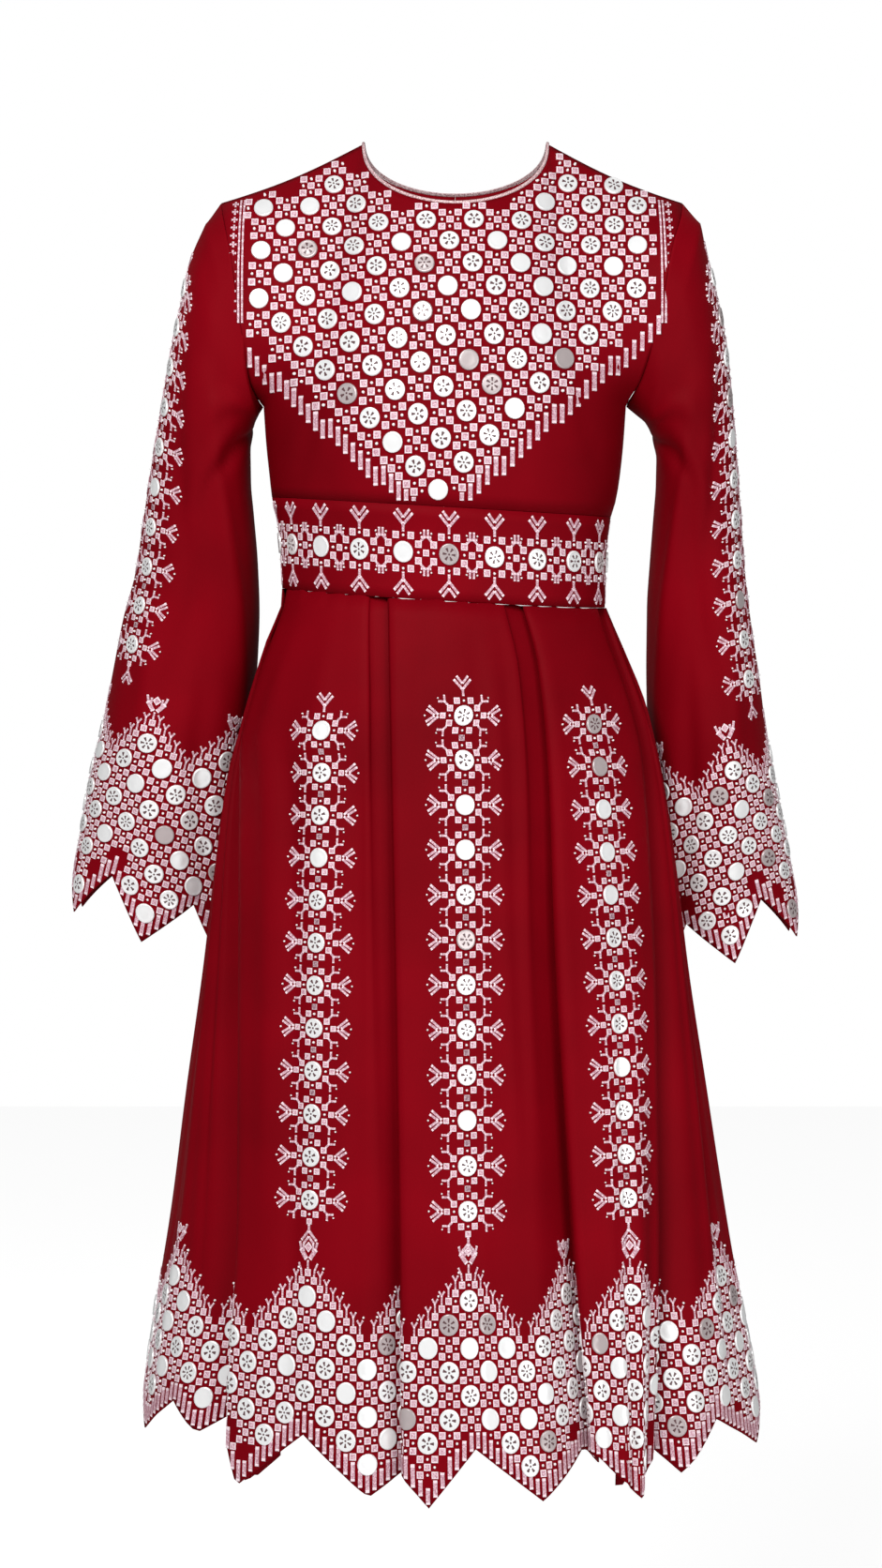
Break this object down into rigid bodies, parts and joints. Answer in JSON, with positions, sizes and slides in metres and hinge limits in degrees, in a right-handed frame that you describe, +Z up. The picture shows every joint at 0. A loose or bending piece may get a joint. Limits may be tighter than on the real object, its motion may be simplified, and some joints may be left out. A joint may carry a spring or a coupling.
{
  "type": "hazaragi dress",
  "caption": "Long-sleeved knee-length dress held open as worn, with a round neck, a shaped waistband, a pleated flared skirt and zigzag hem and cuffs.",
  "frame": {"origin": "between the wearer's shoulders, at the height of the side neck points", "axes": "+Z up, -Y towards the front, +X towards the wearer's left"},
  "size_m": [0.6362, 0.3397, 1.1203],
  "materials": {
    "bodice_front": "soft satin crepe",
    "bodice_back_left": "soft satin crepe",
    "bodice_back_right": "soft satin crepe",
    "waistband_front": "soft satin crepe",
    "waistband_back": "soft satin crepe",
    "skirt_front": "soft satin crepe",
    "skirt_left": "soft satin crepe",
    "skirt_right": "soft satin crepe",
    "skirt_back": "soft satin crepe",
    "sleeve_left": "soft satin crepe",
    "sleeve_right": "soft satin crepe",
    "neck_binding": "metallic thread braid"
  },
  "bodies": {
    "root": {"bodice_front": "bodice_front", "bodice_back_left": "bodice_back_left", "bodice_back_right": "bodice_back_right", "waistband_front": "waistband_front", "waistband_back": "waistband_back", "skirt_front": "skirt_front", "skirt_left": "skirt_left", "skirt_right": "skirt_right", "skirt_back": "skirt_back", "sleeve_left": "sleeve_left", "sleeve_right": "sleeve_right", "neck_binding": "neck_binding"}
  },
  "joints": []
}
